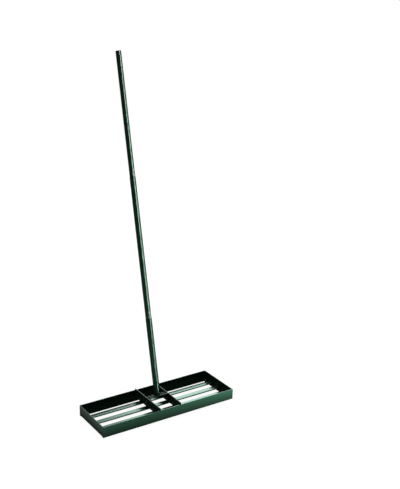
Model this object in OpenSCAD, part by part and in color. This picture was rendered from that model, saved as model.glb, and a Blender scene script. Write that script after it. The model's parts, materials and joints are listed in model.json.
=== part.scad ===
// Lawn leveling rake: a folded steel frame with three slats, two cross plates and a hinged three-piece handle.
// Millimetres. Z is up, the ground is at zero, X runs along the head and the handle leans towards +Y.

/* [Head frame] */
// Length of the head, side to side
head_length = 762; // [600:1:920]
// Depth of the head, front to back
head_depth = 254; // [230:1:300]
// Height of the upright walls
wall_height = 57; // [50:0.5:60]
// Thickness of the folded wall plate
wall_thickness = 3; // [2:0.5:4]
// Reach of the folded bottom lip, from the outer face
lip_reach = 14.5; // [12:0.5:18]
// Inside radius of the fold between wall and lip
fold_radius = 1.5; // [1:0.5:3]

/* [Slats] */
// Depth of each slat, front to back
slat_depth = 28; // [20:0.5:34]
// Thickness of each slat
slat_thickness = 6; // [4:0.5:7]
// Height of the underside of the slats above the ground
slat_height = 11; // [8:0.5:12]

/* [Cross plates] */
// Distance between the two cross plates, middle to middle
plate_spacing = 120; // [112:1:140]
// Thickness of each cross plate
plate_thickness = 3; // [2:0.5:5]
// Height of the top edge of the plates above the walls
plate_rise = 9.5; // [7:0.5:14]

/* [Pivot] */
// Height of the pivot axis above the ground
pivot_height = 47; // [46:0.5:50]
// Backward lean of the handle, in degrees
handle_lean = 12.6; // [0:0.1:25]
// Diameter of the pivot bolts
pivot_bolt_d = 10; // [8:0.5:11]
// Width of the pivot bolt heads and nuts across their flats
pivot_hex_flats = 17; // [15:0.5:18]
// Height of the pivot bolt heads
pivot_head_height = 6.4; // [5:0.1:8]
// Height of the pivot nuts
pivot_nut_height = 8; // [6:0.5:10]
// Outer diameter of the pivot washers and spacers
pivot_washer_d = 18; // [17:0.5:20]
// Thickness of the pivot washers and spacers
pivot_washer_thickness = 2; // [1.5:0.1:2.5]
// Length of thread that stands out of the pivot nuts
pivot_bolt_tail = 2.5; // [1:0.5:5]

/* [Saddle bracket] */
// Depth of the saddle strip, front to back
saddle_depth = 36; // [36:0.5:44]
// Thickness of the saddle strip
saddle_thickness = 4; // [3:0.5:5]
// Inside radius of the two folds of the saddle
saddle_fold_radius = 2; // [1:0.5:5]
// Room between the saddle and the washers and nuts under it
saddle_headroom = 5; // [0.3:0.1:6]

/* [Handle tubes] */
// Outer diameter of the lower tube
lower_tube_d = 32; // [31:0.5:32]
// Outer diameter of the middle tube
middle_tube_d = 30.5; // [29:0.5:31]
// Outer diameter of the upper tube
upper_tube_d = 28; // [26:0.5:29]
// Wall thickness of the tubes
tube_wall = 1.2; // [0.8:0.1:1.6]
// Length of the lower tube that shows
lower_tube_length = 401.5; // [300:0.5:500]
// Length of the middle tube that shows
middle_tube_length = 716; // [500:1:900]
// Length of the upper tube
upper_tube_length = 610.5; // [400:0.5:800]
// Length of the drawn-in neck that plugs into the next tube
neck_length = 60; // [45:1:90]
// Length of the taper between a tube and its neck
shoulder_length = 3; // [2:0.5:6]

/* [Handle joints] */
// Diameter of the joint bolts
joint_bolt_d = 6; // [5:0.5:7]
// Distance from the lower end of a tube to its first joint bolt
joint_bolt_inset = 9.5; // [8:0.5:14]
// Distance between the two bolts of a joint
joint_bolt_spacing = 22; // [16:0.5:28]
// Diameter of the joint bolt heads
joint_head_d = 10.5; // [9:0.5:12]
// Height of the joint bolt heads
joint_head_height = 3.3; // [2.5:0.1:4]
// Diameter of the curved seats under heads and nuts
joint_seat_d = 13; // [12:0.5:14.5]
// Thickness of the curved seats at their middle
joint_seat_thickness = 1.2; // [0.8:0.1:2]
// Width of the joint nuts across their flats
joint_nut_flats = 10; // [9:0.5:11]
// Height of the joint nuts
joint_nut_height = 6; // [4:0.5:7]
// Length of thread that stands out of the joint nuts
joint_bolt_tail = 1.5; // [0.5:0.5:3]
// Depth of the key socket in the joint bolt heads
joint_socket_depth = 2; // [1:0.1:2.4]
// Width of the key socket in the joint bolt heads
joint_socket_flats = 4; // [3:0.5:5]

/* [End plug] */
// Height of the domed cap of the plug
plug_cap_height = 3; // [2:0.5:6]
// Depth of the plug inside the tube
plug_depth = 22; // [12:1:40]
// Wall thickness of the hollow plug
plug_wall = 2; // [1.5:0.5:4]

/* [Welds] */
// Leg of the weld beads on the head
weld_leg = 3; // [2:0.5:4]
// Leg of the weld bead between saddle and lower tube
saddle_weld_leg = 1.8; // [1:0.1:2]

/* [Clearances] */
// Radial gap of the saddle on the pivot bolts
pivot_running_gap = 0.05; // [0.02:0.01:0.1]
// Axial gap on each side of the saddle ears
pivot_play = 0.2; // [0.1:0.05:0.4]
// Radial gap of the bolts in plain holes
bolt_hole_gap = 0.25; // [0.15:0.05:0.4]
// Radial gap of the tubes on their necks and of the plug in its tube
tube_fit_gap = 0.1; // [0.05:0.01:0.15]
// Radial gap between nuts and bolts
thread_gap = 0.05; // [0.02:0.01:0.1]
// Gap between curved seats or beads and the tubes
seat_gap = 0.03; // [0.01:0.01:0.1]

/* [Hidden] */
$fn = 96;
hex_sides = 6;
// Overrun of every cut past the faces that it opens
overrun = 1;

paint_green = "#1f4d3a";
oxide_black = "#333634";
plug_black = "#1b1f1d";
spacer_black = "#2a2d2b";

// Head frame
wall_inner_x = head_length / 2 - wall_thickness;
wall_inner_y = head_depth / 2 - wall_thickness;
lip_edge_y = head_depth / 2 - lip_reach;
fold_outer_radius = fold_radius + wall_thickness;
lip_clear_height = wall_thickness + fold_radius;

// Slats, with four equal gaps between the lips
slat_count = 3;
slat_gap = (2 * lip_edge_y - slat_count * slat_depth) / (slat_count + 1);
slat_pitch = slat_depth + slat_gap;
slat_top = slat_height + slat_thickness;

// Cross plates, standing on the slats
plate_top = wall_height + plate_rise;
plate_inner_x = (plate_spacing - plate_thickness) / 2;
plate_outer_x = (plate_spacing + plate_thickness) / 2;

// Pivot stack along X on each side, from the bolt head inwards
pivot_head_x = plate_outer_x + pivot_washer_thickness;
pivot_spacer_x = plate_inner_x - pivot_washer_thickness;
ear_outer_x = pivot_spacer_x - pivot_play;
ear_inner_x = ear_outer_x - saddle_thickness;
pivot_washer_x = ear_inner_x - pivot_play - pivot_washer_thickness;
pivot_nut_x = pivot_washer_x - pivot_nut_height;
pivot_tip_x = pivot_nut_x - pivot_bolt_tail;

// Saddle, raised until its folds clear the washers and its web clears the corners of the nuts
ear_radius = saddle_depth / 2;
saddle_fold_outer = saddle_fold_radius + saddle_thickness;
pivot_nut_r = pivot_hex_flats / cos(180 / hex_sides) / 2;
saddle_clear_r = max(pivot_washer_d / 2 + saddle_fold_radius, pivot_nut_r);
saddle_rise = saddle_clear_r + saddle_headroom + saddle_thickness;

// Handle stations along its own axis, measured from the pivot
middle_tube_z = saddle_rise + lower_tube_length;
upper_tube_z = middle_tube_z + middle_tube_length;
handle_top_z = upper_tube_z + upper_tube_length;

// Each joint: the tube that slides over the neck, as [lower end along the handle, outer diameter]
joints = [[middle_tube_z, middle_tube_d], [upper_tube_z, upper_tube_d]];
joint_steps = [joint_bolt_inset, joint_bolt_inset + joint_bolt_spacing];
joint_hole_d = joint_bolt_d + 2 * bolt_hole_gap;

function inner_d(outer_d) = outer_d - 2 * tube_wall;
function neck_d(next_d) = inner_d(next_d) - 2 * tube_fit_gap;

// Shared shapes

module mirrored_x() {
    children();
    mirror([1, 0, 0]) children();
}

// Cylinder along X from one station to another
module bar_x(from_x, to_x, d) {
    translate([from_x, 0, 0])
        rotate([0, 90, 0])
            cylinder(h = to_x - from_x, d = d);
}

// Hexagonal prism along X
module hex_x(from_x, to_x, flats) {
    translate([from_x, 0, 0])
        rotate([0, 90, 0])
            cylinder(h = to_x - from_x, d = flats / cos(180 / hex_sides), $fn = hex_sides);
}

// Ring along X
module ring_x(from_x, to_x, outer_d, hole_d) {
    difference() {
        bar_x(from_x, to_x, outer_d);
        bar_x(from_x - overrun, to_x + overrun, hole_d);
    }
}

// Places its children in the frame of the leaning handle, with the pivot at its origin
module on_handle() {
    translate([0, 0, pivot_height])
        rotate([-handle_lean, 0, 0])
            children();
}

// Section of a folded wall: outer face at x = 0, lip towards +x
module wall_section() {
    difference() {
        square([lip_reach, wall_height]);
        translate([wall_thickness + fold_radius, wall_thickness])
            square([lip_reach, wall_height]);
        translate([wall_thickness, wall_thickness + fold_radius])
            square([lip_reach, wall_height]);
        translate([wall_thickness + fold_radius, wall_thickness + fold_radius])
            circle(r = fold_radius);
        difference() {
            translate([-overrun, -overrun])
                square(fold_outer_radius + overrun);
            translate([fold_outer_radius, fold_outer_radius])
                circle(r = fold_outer_radius);
        }
    }
}

// Long wall whose outer face is at the front
module long_wall() {
    translate([-head_length / 2, -head_depth / 2, 0])
        rotate([90, 0, 90])
            linear_extrude(head_length)
                wall_section();
}

// End wall on the left, fitted between the long walls and notched over their lips
module end_wall() {
    difference() {
        translate([-head_length / 2, wall_inner_y, 0])
            rotate([90, 0, 0])
                linear_extrude(2 * wall_inner_y)
                    wall_section();
        for (side = [0, 1])
            mirror([0, side, 0])
                translate([-head_length / 2 - overrun, lip_edge_y, -overrun])
                    cube([lip_reach + 2 * overrun, lip_reach, lip_clear_height + overrun]);
    }
}

// Slat centred at a place along the depth of the head
module slat(place_y) {
    translate([-wall_inner_x, place_y - slat_depth / 2, slat_height])
        cube([2 * wall_inner_x, slat_depth, slat_thickness]);
}

// Cross plate on the right, standing on the slats between the long walls
module cross_plate() {
    difference() {
        translate([plate_inner_x, -wall_inner_y, slat_top])
            cube([plate_thickness, 2 * wall_inner_y, plate_top - slat_top]);
        translate([0, 0, pivot_height])
            bar_x(plate_inner_x - overrun, plate_outer_x + overrun, pivot_bolt_d + 2 * bolt_hole_gap);
    }
}

// Three-sided weld bead along z, in the corner between the planes x = 0 and y = 0
module bead(length, leg) {
    linear_extrude(length)
        polygon([[0, 0], [leg, 0], [0, leg]]);
}

// Tube along the handle, with a taper and a neck at its top end
module necked_tube(outer_d, length, next_d) {
    r = outer_d / 2;
    neck_r = neck_d(next_d) / 2;
    shoulder_z = length - shoulder_length;
    rotate_extrude()
        polygon([
            [r, 0],
            [r, shoulder_z],
            [neck_r, length],
            [neck_r, length + neck_length],
            [neck_r - tube_wall, length + neck_length],
            [neck_r - tube_wall, length],
            [r - tube_wall, shoulder_z],
            [r - tube_wall, 0]
        ]);
}

// Places its children at each joint bolt: origin on the tube's axis, bolt along y, head towards -y
module at_joint_bolts(joint) {
    for (step = joint_steps)
        translate([0, 0, joint[0] + step])
            children();
}

// Cylinder along y from one station to another
module bar_y(from_y, to_y, d) {
    translate([0, to_y, 0])
        rotate([90, 0, 0])
            cylinder(h = to_y - from_y, d = d);
}

// Hexagonal prism along y
module hex_y(from_y, to_y, flats) {
    translate([0, to_y, 0])
        rotate([90, 0, 0])
            cylinder(h = to_y - from_y, d = flats / cos(180 / hex_sides), $fn = hex_sides);
}

// Holes for the bolts of one joint, right through both tubes
module joint_holes(joint) {
    at_joint_bolts(joint)
        bar_y(-lower_tube_d, lower_tube_d, joint_hole_d);
}

// Head frame

module front_wall() {
    color(paint_green)
        long_wall();
}

module rear_wall() {
    color(paint_green)
        mirror([0, 1, 0]) long_wall();
}

module left_end_wall() {
    color(paint_green)
        end_wall();
}

module right_end_wall() {
    color(paint_green)
        mirror([1, 0, 0]) end_wall();
}

module front_slat() {
    color(paint_green)
        slat(-slat_pitch);
}

module middle_slat() {
    color(paint_green)
        slat(0);
}

module rear_slat() {
    color(paint_green)
        slat(slat_pitch);
}

module left_cross_plate() {
    color(paint_green)
        mirror([1, 0, 0]) cross_plate();
}

module right_cross_plate() {
    color(paint_green)
        cross_plate();
}

// Welds of the head

module corner_welds() {
    color(paint_green)
        for (side_x = [0, 1], side_y = [0, 1])
            mirror([side_x, 0, 0])
                mirror([0, side_y, 0])
                    translate([-wall_inner_x, -wall_inner_y, lip_clear_height])
                        bead(wall_height - weld_leg - lip_clear_height, weld_leg);
}

module slat_welds() {
    color(paint_green)
        for (row = [-1, 0, 1])
            mirrored_x()
                translate([wall_inner_x, row * slat_pitch + slat_depth / 2, slat_top])
                    rotate([90, 0, 0])
                        mirror([1, 0, 0])
                            bead(slat_depth, weld_leg);
}

module plate_welds() {
    color(paint_green)
        mirrored_x() {
            for (side = [0, 1])
                mirror([0, side, 0])
                    translate([plate_outer_x, -wall_inner_y, slat_top])
                        bead(wall_height - weld_leg - slat_top, weld_leg);
            for (row = [-1, 0, 1])
                translate([plate_outer_x, row * slat_pitch + slat_depth / 2, slat_top])
                    rotate([90, 0, 0])
                        bead(slat_depth, weld_leg);
        }
}

// Pivot

module pivot_bolts() {
    color(oxide_black)
        translate([0, 0, pivot_height])
            mirrored_x() {
                hex_x(pivot_head_x, pivot_head_x + pivot_head_height, pivot_hex_flats);
                bar_x(pivot_tip_x, pivot_head_x, pivot_bolt_d);
            }
}

module pivot_washers() {
    color(oxide_black)
        translate([0, 0, pivot_height])
            mirrored_x()
                for (x = [plate_outer_x, pivot_washer_x])
                    ring_x(x, x + pivot_washer_thickness, pivot_washer_d, pivot_bolt_d + 2 * bolt_hole_gap);
}

module pivot_spacers() {
    color(spacer_black)
        translate([0, 0, pivot_height])
            mirrored_x()
                ring_x(pivot_spacer_x, plate_inner_x, pivot_washer_d, pivot_bolt_d + 2 * bolt_hole_gap);
}

module pivot_nuts() {
    color(oxide_black)
        translate([0, 0, pivot_height])
            mirrored_x()
                difference() {
                    hex_x(pivot_nut_x, pivot_washer_x, pivot_hex_flats);
                    bar_x(pivot_nut_x - overrun, pivot_washer_x + overrun, pivot_bolt_d + 2 * thread_gap);
                }
}

// Saddle bracket: a strip folded down at both ends, with round ears on the pivot bolts

// Rectangle from the foot of the ears upwards, with its two upper corners rounded
module arch_section(half_width, top, corner_r) {
    translate([-half_width, -ear_radius])
        square([2 * half_width, ear_radius + top - corner_r]);
    translate([corner_r - half_width, -ear_radius])
        square([2 * (half_width - corner_r), ear_radius + top]);
    for (side = [-1, 1])
        translate([side * (half_width - corner_r), top - corner_r])
            circle(r = corner_r);
}

module saddle_bracket() {
    color(paint_green)
        on_handle()
            difference() {
                intersection() {
                    translate([0, ear_radius, 0])
                        rotate([90, 0, 0])
                            linear_extrude(saddle_depth)
                                difference() {
                                    arch_section(ear_outer_x, saddle_rise, saddle_fold_outer);
                                    translate([0, -overrun])
                                        arch_section(ear_inner_x, saddle_rise - saddle_thickness + overrun,
                                            saddle_fold_radius);
                                }
                    union() {
                        bar_x(-ear_outer_x, ear_outer_x, saddle_depth);
                        translate([-ear_outer_x, -ear_radius, 0])
                            cube([2 * ear_outer_x, saddle_depth, saddle_rise]);
                    }
                }
                bar_x(-ear_outer_x - overrun, ear_outer_x + overrun, pivot_bolt_d + 2 * pivot_running_gap);
            }
}

module saddle_weld() {
    color(paint_green)
        on_handle()
            translate([0, 0, saddle_rise])
                rotate_extrude()
                    translate([lower_tube_d / 2 + seat_gap, 0])
                        polygon([[0, 0], [saddle_weld_leg, 0], [0, saddle_weld_leg]]);
}

// Handle tubes

module lower_tube() {
    color(paint_green)
        on_handle()
            difference() {
                translate([0, 0, saddle_rise])
                    necked_tube(lower_tube_d, lower_tube_length, middle_tube_d);
                joint_holes(joints[0]);
            }
}

module middle_tube() {
    color(paint_green)
        on_handle()
            difference() {
                translate([0, 0, middle_tube_z])
                    necked_tube(middle_tube_d, middle_tube_length, upper_tube_d);
                for (joint = joints)
                    joint_holes(joint);
            }
}

module upper_tube() {
    color(paint_green)
        on_handle()
            difference() {
                translate([0, 0, upper_tube_z])
                    cylinder(h = upper_tube_length, d = upper_tube_d);
                translate([0, 0, upper_tube_z - overrun])
                    cylinder(h = upper_tube_length + 2 * overrun, d = inner_d(upper_tube_d));
                joint_holes(joints[1]);
            }
}

// Joint fasteners

module joint_bolts() {
    color(oxide_black)
        on_handle()
            for (joint = joints) {
                seat_y = joint[1] / 2 + joint_seat_thickness;
                head_y = seat_y + joint_head_height;
                at_joint_bolts(joint)
                    difference() {
                        union() {
                            bar_y(-head_y, -seat_y, joint_head_d);
                            bar_y(-seat_y, seat_y + joint_nut_height + joint_bolt_tail, joint_bolt_d);
                        }
                        hex_y(-head_y - overrun, joint_socket_depth - head_y, joint_socket_flats);
                    }
            }
}

module joint_seats() {
    color(oxide_black)
        on_handle()
            for (joint = joints) {
                seat_y = joint[1] / 2 + joint_seat_thickness;
                tube_clear_d = joint[1] + 2 * seat_gap;
                at_joint_bolts(joint)
                    for (side = [0, 1])
                        mirror([0, side, 0])
                            difference() {
                                bar_y(-seat_y, 0, joint_seat_d);
                                bar_y(-seat_y - overrun, overrun, joint_hole_d);
                                translate([0, 0, -joint_seat_d])
                                    cylinder(h = 2 * joint_seat_d, d = tube_clear_d);
                            }
            }
}

module joint_nuts() {
    color(oxide_black)
        on_handle()
            for (joint = joints) {
                seat_y = joint[1] / 2 + joint_seat_thickness;
                at_joint_bolts(joint)
                    difference() {
                        hex_y(seat_y, seat_y + joint_nut_height, joint_nut_flats);
                        bar_y(seat_y - overrun, seat_y + joint_nut_height + overrun, joint_bolt_d + 2 * thread_gap);
                    }
            }
}

// End plug: a hollow spigot in the tube under a domed cap

module end_plug() {
    cap_r = upper_tube_d / 2;
    spigot_r = inner_d(upper_tube_d) / 2 - tube_fit_gap;
    dome_r = (cap_r * cap_r + plug_cap_height * plug_cap_height) / (2 * plug_cap_height);
    color(plug_black)
        on_handle()
            translate([0, 0, handle_top_z]) {
                difference() {
                    union() {
                        translate([0, 0, -plug_depth])
                            cylinder(h = plug_depth, r = spigot_r);
                        intersection() {
                            cylinder(h = plug_cap_height, r = cap_r);
                            translate([0, 0, plug_cap_height - dome_r])
                                sphere(r = dome_r);
                        }
                    }
                    translate([0, 0, -plug_depth - overrun])
                        cylinder(h = plug_depth + overrun, r = spigot_r - plug_wall);
                }
            }
}

front_wall();
rear_wall();
left_end_wall();
right_end_wall();
front_slat();
middle_slat();
rear_slat();
left_cross_plate();
right_cross_plate();
corner_welds();
slat_welds();
plate_welds();
pivot_bolts();
pivot_washers();
pivot_spacers();
pivot_nuts();
saddle_bracket();
saddle_weld();
lower_tube();
middle_tube();
upper_tube();
joint_bolts();
joint_seats();
joint_nuts();
end_plug();
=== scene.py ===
"""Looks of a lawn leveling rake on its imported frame: sheet metal, weld beads, fasteners, tubes and paint.

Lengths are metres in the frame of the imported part: Z is up, X runs along the head from left to right, and
the handle leans towards +Y.
"""

import json
import math

import bmesh
import bpy
import numpy as np
from mathutils import Matrix, Vector


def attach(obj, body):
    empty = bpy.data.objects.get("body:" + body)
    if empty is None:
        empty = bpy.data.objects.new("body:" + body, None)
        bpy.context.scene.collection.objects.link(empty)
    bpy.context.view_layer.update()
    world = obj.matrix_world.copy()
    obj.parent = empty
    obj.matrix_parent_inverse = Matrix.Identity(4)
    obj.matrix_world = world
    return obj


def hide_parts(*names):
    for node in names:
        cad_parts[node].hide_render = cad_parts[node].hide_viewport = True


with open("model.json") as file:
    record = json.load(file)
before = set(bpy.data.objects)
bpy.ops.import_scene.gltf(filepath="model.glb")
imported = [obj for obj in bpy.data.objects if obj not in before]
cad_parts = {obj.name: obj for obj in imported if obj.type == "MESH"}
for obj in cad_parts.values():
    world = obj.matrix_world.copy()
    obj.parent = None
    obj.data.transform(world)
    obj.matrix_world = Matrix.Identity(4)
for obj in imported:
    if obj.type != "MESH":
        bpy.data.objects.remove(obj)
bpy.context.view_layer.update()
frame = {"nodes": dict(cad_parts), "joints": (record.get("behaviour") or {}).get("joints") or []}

MM = 0.001
TURN = 2 * math.pi
QUARTER = TURN / 4
UP = (0, 0, 1)

# Camera, worked out from the corners of the head and the line of the handle; it looks at the centre column
IMAGE_WIDTH = 400
IMAGE_HEIGHT = 489
CAMERA_PLACE = (-1.9623, -3.1537, 2.0529)
CAMERA_PITCH = math.radians(17.627)
CAMERA_YAW = math.radians(-30.737)
FOCAL_LENGTH_PX = 812.65
CENTRE_COLUMN_PX = 143.04
SENSOR_MM = 36.0

# Fineness of the meshes
STATION_DIGITS = 5
MERGE_DISTANCE = 0.001 * MM
SHARP_ANGLE = math.radians(32)
ARC_STEPS = 7
WASHER_ARC_STEPS = 4
PLATE_COLUMNS = 96
TUBE_COLUMNS = 96
RING_COLUMNS = 64
HEX_COLUMNS = 48
TINY = 1e-9

# Sheet metal of the head
SLATS = ("front_slat", "middle_slat", "rear_slat")
FOLD_R = 1.5 * MM
SHEET_EDGE_R = 0.5 * MM
SLAT_EDGE_R = 1.2 * MM

# Weld beads, whose ripples bow along the seam
WELD_LEG = 3.0 * MM
SADDLE_WELD_LEG = 1.8 * MM
BEAD_STEPS = 9
BEAD_POWER = 1.4
RIPPLE_PITCH = 2.2 * MM
RIPPLE_ROWS = 6
RIPPLE_DEPTH_SHARE = 0.16
RIPPLE_BOW_SHARE = 0.6
RIPPLE_POWER = 1.5

# Saddle between the cross plates
SADDLE_THICKNESS = 4.0 * MM
SADDLE_FOLD_R = 2.0 * MM
SADDLE_HOLE_R = 5.05 * MM
SADDLE_EDGE_R = 1.2 * MM
SADDLE_OVERLAP = 2.0 * MM
SADDLE_FOOT_STEPS = 39
SADDLE_SIDE_STEPS = 48
SADDLE_TIP_STEPS = 22
SADDLE_FACE_ROWS = 39
# Where the highlight painted on the web's long edges starts and is full, out from the handle's axis
SADDLE_SHEEN_START = 9.0 * MM
SADDLE_SHEEN_FULL = 13.0 * MM

# Hexagons and screw threads
HEX_FACE_SHARE = 0.95
HEX_CHAMFER = math.radians(30)
THREAD_DEPTH_SHARE = 0.55
THREAD_ROWS = 8

# Fasteners of the pivot
PIVOT_BOLT_R = 5.0 * MM
PIVOT_HOLE_R = 5.25 * MM
PIVOT_HEX_R = 8.5 * MM
PIVOT_THREAD_PITCH = 1.5 * MM
WASHER_EDGE_R = 0.35 * MM

# Fasteners of the handle joints
JOINT_BOLT_R = 3.0 * MM
JOINT_HOLE_R = 3.25 * MM
JOINT_INSET = 9.5 * MM
JOINT_SPACING = 22.0 * MM
JOINT_HEAD_R = 5.25 * MM
JOINT_HEAD_HEIGHT = 3.3 * MM
JOINT_HEAD_EASE = 0.2 * MM
JOINT_RIM_SHARE = 0.25
JOINT_DOME_ANGLE = math.radians(62)
JOINT_DOME_STEPS = 8
JOINT_SOCKET_R = 2.0 * MM
JOINT_SOCKET_DEPTH = 2.0 * MM
JOINT_SOCKET_EASE = 0.1 * MM
JOINT_SOCKET_FLOOR_SHARE = 0.9
JOINT_SOCKET_MOUTH_SHARE = 1.04
JOINT_SEAT_R = 6.5 * MM
JOINT_SEAT_THICKNESS = 1.2 * MM
JOINT_NUT_R = 5.0 * MM
JOINT_NUT_HEIGHT = 6.0 * MM
JOINT_TAIL = 1.5 * MM
JOINT_TIP_SHARE = 0.8
JOINT_THREAD_PITCH = 1.0 * MM

# Handle tubes and their plug
HANDLE_LEAN = math.radians(12.6)
TUBE_WALL = 1.2 * MM
TUBE_FIT_GAP = 0.1 * MM
SHOULDER_LENGTH = 3.0 * MM
SHOULDER_R = 2.0 * MM
RIM_R = 0.45 * MM
PLUG_WALL = 2.0 * MM
PLUG_FOOT_R = 0.3 * MM
PLUG_EDGE_R = 1.3 * MM
PLUG_EDGE_DROP = 0.8 * MM
PLUG_CROWN_DROP = 0.2 * MM
PLUG_DOME_DROP = 0.1 * MM
PLUG_DOME_SHARE = 0.5
# Stretch of the lower tube above the pivot that is painted darker as shade: full below the first, none
# above the second
TUBE_FOOT_DARK = 30.0 * MM
TUBE_FOOT_CLEAR = 105.0 * MM

# Colours of the finishes, most of them mottled between a dark and a light one
PAINT_DARK = (0.0150, 0.062, 0.036, 1)
PAINT_LIGHT = (0.0205, 0.082, 0.048, 1)
# Inner faces, cross plates and welds: the paint made darker, as painted shade
INNER_SHADE_DARK = (0.0090, 0.037, 0.0215, 1)
INNER_SHADE_LIGHT = (0.0123, 0.049, 0.029, 1)
# Painted shade: the walls' outer faces turn this darker towards the ground
FOOT_SHADE_PAINT = (0.013, 0.024, 0.017, 1)
# Painted sheen: faces that look up turn into this paler polished metal
POLISHED_SHEEN_PAINT = (0.056, 0.108, 0.085, 1)
# Painted highlight: polished steel on the cross plates' top edges
PLATE_EDGE_SHEEN = (0.12, 0.127, 0.123, 1)
# Painted highlight: polished steel on the long edges of the saddle's web
SADDLE_EDGE_SHEEN = (0.080, 0.085, 0.082, 1)
# Saddle: the paint made darker still, as painted shade
SADDLE_SHADE_DARK = (0.0032, 0.013, 0.0076, 1)
SADDLE_SHADE_LIGHT = (0.0043, 0.0175, 0.0102, 1)
TUBE_DARK = (0.0070, 0.060, 0.0270, 1)
TUBE_LIGHT = (0.0100, 0.076, 0.0350, 1)
# Painted shade: the lower tube just above the saddle
TUBE_FOOT_SHADE = (0.0020, 0.016, 0.0080, 1)
HEAD_SHEEN = (0.85, 1.0, 0.93, 1)
OXIDE_DARK = (0.022, 0.025, 0.023, 1)
OXIDE_LIGHT = (0.042, 0.046, 0.043, 1)
PLASTIC_DARK = (0.006, 0.008, 0.007, 1)
PLASTIC_LIGHT = (0.012, 0.015, 0.013, 1)

# Roughness of the finishes, from one end of their mottle to the other
HEAD_ROUGHNESS = (0.38, 0.48)
INNER_ROUGHNESS = (0.42, 0.54)
TUBE_ROUGHNESS = (0.20, 0.25)
OXIDE_ROUGHNESS = (0.32, 0.5)
PLASTIC_ROUGHNESS = (0.42, 0.58)
POLISHED_ROUGHNESS = 0.25

# Gloss of the finishes
HEAD_COAT = 0.34
INNER_COAT = 0.062
HEAD_COAT_ROUGHNESS = 0.25
HEAD_COAT_IOR = 1.35
INNER_GLOSS = 0.012
TUBE_GLOSS = 0.08
LOWER_TUBE_GLOSS = 0.048
TUBE_COAT_ROUGHNESS = 0.22
PIVOT_GLOSS = 0.12
JOINT_GLOSS = 0.3
OXIDE_COAT_ROUGHNESS = 0.36
PLASTIC_GLOSS = 0.1

# Skins: scales of the orange peel and of the mottle, depth and strength of the peel's relief
HEAD_GRAIN = dict(peel=700.0, mottle=16.0, depth=0.03 * MM, strength=0.3)
TUBE_GRAIN = dict(peel=900.0, mottle=20.0, depth=0.02 * MM, strength=0.08)
OXIDE_GRAIN = dict(peel=1500.0, mottle=160.0, depth=0.03 * MM, strength=0.3)
PLASTIC_GRAIN = dict(peel=2200.0, mottle=60.0, depth=0.08 * MM, strength=0.4)
PEEL_DETAIL = 2.0
MOTTLE_DETAIL = 3.0
MOTTLE_NOISE_ROUGHNESS = 0.55

# Painted sheen and shade: how far a face must look up to get the painted sheen, the streaks of that, and
# the top of the walls' outer foot that is painted darker as shade
SHEEN_START = 0.8
SHEEN_FULL = 0.98
STREAK_SHARE = 0.06
STREAK_SCALES = (9.0, 260.0, 260.0)
STREAK_DETAIL = 3.0
OUTER_SKIN_DEPTH = 1.0 * MM
FOOT_TOP = 52.0 * MM

# Colour sockets of a Mix node
MIX_FIRST = 6
MIX_SECOND = 7
MIX_RESULT = 2

# Floor and fill light
WORLD_FILL = 0.02
FLOOR_HALF = 40.0
FLOOR_DROP = 0.2 * MM
FLOOR_PALENESS = 0.12
FLOOR_GLOW = 0.95
FLOOR_GLOW_NEAR = 0.5
FLOOR_GLOW_FAR = 2.0

# Lamps: the right strip is kept to the head and the floor, and the tube strip to the pieces with a sheen
OVERHEAD_BOX = dict(place=(0.8, 0.9, 4.0), target=(0, 0, 0), size=(2.2, 2.2), power=100)
BACK_RIGHT_BOX = dict(place=(3.3, 3.68, 2.6), target=(0.2, 0, 0), size=(2.6, 1.6), power=68)
LOW_RIGHT_STRIP = dict(place=(1.0, -0.65, 0.03), target=(0.25, -0.127, 0.03), size=(0.6, 0.04), power=21)
LOW_LEFT_STRIP = dict(place=(-1.1, -0.9, 0.03), target=(-0.1, -0.1, 0.03), size=(0.5, 0.04), power=5)
TUBE_STRIP = dict(side=(0.40, -0.905, 0), reach=0.12, height=1.8, width=0.07, power=48, lengths=6)
SHEEN_PIECES = ("lower_tube_drawn", "middle_tube_drawn", "upper_tube_drawn",
                "joint_button_bolts", "joint_curved_seats")


# Reading the frame

def node_points(node):
    """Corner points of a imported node, one row each."""
    vertices = frame["nodes"][node].data.vertices
    points = np.empty(len(vertices) * 3)
    vertices.foreach_get("co", points)
    return points.reshape(-1, 3)


def low_high(node):
    """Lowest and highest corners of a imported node, as arrays."""
    points = node_points(node)
    return points.min(axis=0), points.max(axis=0)


def right_stations(node):
    """Places along X, on the right half, where the flat ends of a node's turned pieces lie."""
    x = np.unique(node_points(node)[:, 0].round(STATION_DIGITS))
    return x[x > 0]


# Handle's own frame: its origin, and its axes as rows

PIVOT = np.array(frame["joints"][0]["pos_m"])
HANDLE_AXES = np.array([
    [1, 0, 0],
    [0, math.cos(HANDLE_LEAN), -math.sin(HANDLE_LEAN)],
    [0, math.sin(HANDLE_LEAN), math.cos(HANDLE_LEAN)],
])


def on_handle(points):
    """Points of the handle's own frame, whose z runs up it from the pivot, put into the part's frame."""
    return PIVOT + points @ HANDLE_AXES


def handle_box(node):
    """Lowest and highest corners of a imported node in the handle's own frame."""
    points = (node_points(node) - PIVOT) @ HANDLE_AXES.T
    return points.min(axis=0), points.max(axis=0)


# Surfaces on grids

def grid_faces(rows, columns, close_rows):
    """Quads of a grid whose columns close on themselves, and whose rows do too where asked."""
    used = rows if close_rows else rows - 1
    row, column = np.meshgrid(np.arange(used), np.arange(columns), indexing="ij")
    next_row = (row + 1) % rows
    next_column = (column + 1) % columns
    corners = [row * columns + column, row * columns + next_column,
               next_row * columns + next_column, next_row * columns + column]
    return np.stack(corners, axis=-1).reshape(-1, 4)


def closed_surface(rings):
    """Surface through a closed row of closed rings, like a torus."""
    rows, columns = rings.shape[:2]
    return rings.reshape(-1, 3), [grid_faces(rows, columns, True)]


def capped_surface(rings):
    """Surface through an open row of closed rings, with a flat face on the first and on the last."""
    rows, columns = rings.shape[:2]
    first = np.arange(columns)[None, :]
    last = first + (rows - 1) * columns
    return rings.reshape(-1, 3), [grid_faces(rows, columns, False), first[:, ::-1], last]


# Finished pieces by the body that they ride on
PIECES = {"head": [], "handle": []}


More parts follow.
